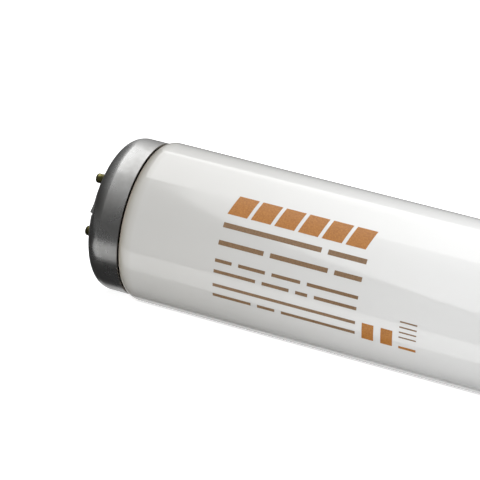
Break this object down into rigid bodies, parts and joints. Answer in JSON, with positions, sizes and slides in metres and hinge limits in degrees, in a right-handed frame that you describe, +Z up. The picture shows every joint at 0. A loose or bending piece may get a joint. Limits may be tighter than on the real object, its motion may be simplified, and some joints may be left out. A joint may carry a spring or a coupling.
{
  "type": "fluorescent tube",
  "caption": "Straight fluorescent lamp: a white coated glass tube with an aluminium bi-pin cap at each end.",
  "frame": {"origin": "on the surface that the tube lies on, below the middle of the lamp", "axes": "+X along the lamp from the pictured cap to the other one, +Z up, with the two pins of each cap one above the other"},
  "size_m": [0.6036, 0.0378, 0.038],
  "materials": {
    "coated_glass": "smooth gloss glass with a white powder coating behind it",
    "cap_aluminium": "drawn sheet, satin",
    "insulator_moulding": "moulded phenolic resin",
    "cement": "baked resin and marble flour",
    "pin_brass": "drawn, slightly tarnished",
    "lead_wire": "plain drawn wire"
  },
  "bodies": {
    "root": {"glass_bulb": "coated_glass", "left_cap_shell": "cap_aluminium", "left_insulator": "insulator_moulding", "left_capping_cement": "cement", "left_upper_pin": "pin_brass", "left_lower_pin": "pin_brass", "left_upper_lead_wire": "lead_wire", "left_lower_lead_wire": "lead_wire", "right_cap_shell": "cap_aluminium", "right_insulator": "insulator_moulding", "right_capping_cement": "cement", "right_upper_pin": "pin_brass", "right_lower_pin": "pin_brass", "right_upper_lead_wire": "lead_wire", "right_lower_lead_wire": "lead_wire"}
  },
  "joints": []
}
